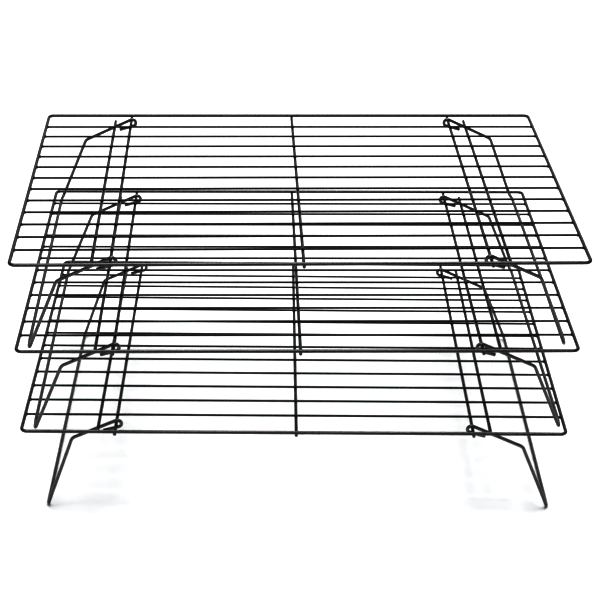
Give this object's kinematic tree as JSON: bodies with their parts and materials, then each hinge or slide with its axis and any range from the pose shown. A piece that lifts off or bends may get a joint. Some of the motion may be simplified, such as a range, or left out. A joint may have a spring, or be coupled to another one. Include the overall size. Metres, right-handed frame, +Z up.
{
  "type": "cooling rack",
  "caption": "Stacking wire cooling rack: tiers of grid wires in rounded frames, each on two folding wire legs that stand inside the frame below.",
  "frame": {"origin": "on the table top under the middle of the rack", "axes": "+X along the grid wires, the long side; +Y along the short side, front to back; +Z up"},
  "size_m": [0.4088, 0.2706, 0.2159],
  "materials": {
    "frame_wire": "satin black non-stick coating",
    "cross_wire": "satin black non-stick coating",
    "grid_wire": "satin black non-stick coating",
    "leg_wire": "satin black non-stick coating"
  },
  "bodies": {
    "bottom_rack": {"bottom_frame": "frame_wire", "bottom_centre_cross_wire": "cross_wire", "bottom_left_hinge_wire": "cross_wire", "bottom_right_hinge_wire": "cross_wire", "bottom_left_stop_wire": "cross_wire", "bottom_right_stop_wire": "cross_wire", "bottom_grid_wire_01": "grid_wire", "bottom_grid_wire_02": "grid_wire", "bottom_grid_wire_03": "grid_wire", "bottom_grid_wire_04": "grid_wire", "bottom_grid_wire_05": "grid_wire", "bottom_grid_wire_06": "grid_wire", "bottom_grid_wire_07": "grid_wire", "bottom_grid_wire_08": "grid_wire", "bottom_grid_wire_09": "grid_wire", "bottom_grid_wire_10": "grid_wire", "bottom_grid_wire_11": "grid_wire", "bottom_grid_wire_12": "grid_wire"},
    "bottom_left_leg": {"bottom_left_leg": "leg_wire"},
    "bottom_right_leg": {"bottom_right_leg": "leg_wire"},
    "middle_rack": {"middle_frame": "frame_wire", "middle_centre_cross_wire": "cross_wire", "middle_left_hinge_wire": "cross_wire", "middle_right_hinge_wire": "cross_wire", "middle_left_stop_wire": "cross_wire", "middle_right_stop_wire": "cross_wire", "middle_grid_wire_01": "grid_wire", "middle_grid_wire_02": "grid_wire", "middle_grid_wire_03": "grid_wire", "middle_grid_wire_04": "grid_wire", "middle_grid_wire_05": "grid_wire", "middle_grid_wire_06": "grid_wire", "middle_grid_wire_07": "grid_wire", "middle_grid_wire_08": "grid_wire", "middle_grid_wire_09": "grid_wire", "middle_grid_wire_10": "grid_wire", "middle_grid_wire_11": "grid_wire", "middle_grid_wire_12": "grid_wire"},
    "middle_left_leg": {"middle_left_leg": "leg_wire"},
    "middle_right_leg": {"middle_right_leg": "leg_wire"},
    "top_rack": {"top_frame": "frame_wire", "top_centre_cross_wire": "cross_wire", "top_left_hinge_wire": "cross_wire", "top_right_hinge_wire": "cross_wire", "top_left_stop_wire": "cross_wire", "top_right_stop_wire": "cross_wire", "top_grid_wire_01": "grid_wire", "top_grid_wire_02": "grid_wire", "top_grid_wire_03": "grid_wire", "top_grid_wire_04": "grid_wire", "top_grid_wire_05": "grid_wire", "top_grid_wire_06": "grid_wire", "top_grid_wire_07": "grid_wire", "top_grid_wire_08": "grid_wire", "top_grid_wire_09": "grid_wire", "top_grid_wire_10": "grid_wire", "top_grid_wire_11": "grid_wire", "top_grid_wire_12": "grid_wire"},
    "top_left_leg": {"top_left_leg": "leg_wire"},
    "top_right_leg": {"top_right_leg": "leg_wire"}
  },
  "joints": [
    {"name": "bottom_left_leg_fold", "type": "hinge", "parent": "bottom_rack", "child": "bottom_left_leg", "pos_m": [-0.1319, 0, 0.0703], "axis": [0, -1, 0], "range_deg": [0, 126.5]},
    {"name": "bottom_right_leg_fold", "type": "hinge", "parent": "bottom_rack", "child": "bottom_right_leg", "pos_m": [0.1319, 0, 0.0703], "axis": [0, 1, 0], "range_deg": [0, 130.5]},
    {"name": "middle_rack_lift", "type": "slide", "parent": "bottom_rack", "child": "middle_rack", "axis": [0, 0, 1], "range_m": [0, 0.15]},
    {"name": "middle_left_leg_fold", "type": "hinge", "parent": "middle_rack", "child": "middle_left_leg", "pos_m": [-0.13188, -0.00212, 0.1408], "axis": [0.0161, -0.9999, 0], "range_deg": [0, 131]},
    {"name": "middle_right_leg_fold", "type": "hinge", "parent": "middle_rack", "child": "middle_right_leg", "pos_m": [0.13188, 0.00212, 0.1408], "axis": [-0.0161, 0.9999, 0], "range_deg": [0, 132]},
    {"name": "top_rack_lift", "type": "slide", "parent": "middle_rack", "child": "top_rack", "axis": [0, 0, 1], "range_m": [0, 0.15]},
    {"name": "top_left_leg_fold", "type": "hinge", "parent": "top_rack", "child": "top_left_leg", "pos_m": [-0.13186, -0.00338, 0.2113], "axis": [0.0257, -0.9997, 0], "range_deg": [0, 131]},
    {"name": "top_right_leg_fold", "type": "hinge", "parent": "top_rack", "child": "top_right_leg", "pos_m": [0.13186, 0.00338, 0.2113], "axis": [-0.0257, 0.9997, 0], "range_deg": [0, 130]}
  ],
  "couplings": [
    {"joint": "middle_left_leg_fold", "follows": "middle_rack_lift", "rad_per_m": 15.24},
    {"joint": "middle_right_leg_fold", "follows": "middle_rack_lift", "rad_per_m": 15.35},
    {"joint": "top_left_leg_fold", "follows": "top_rack_lift", "rad_per_m": 15.24},
    {"joint": "top_right_leg_fold", "follows": "top_rack_lift", "rad_per_m": 15.12}
  ]
}
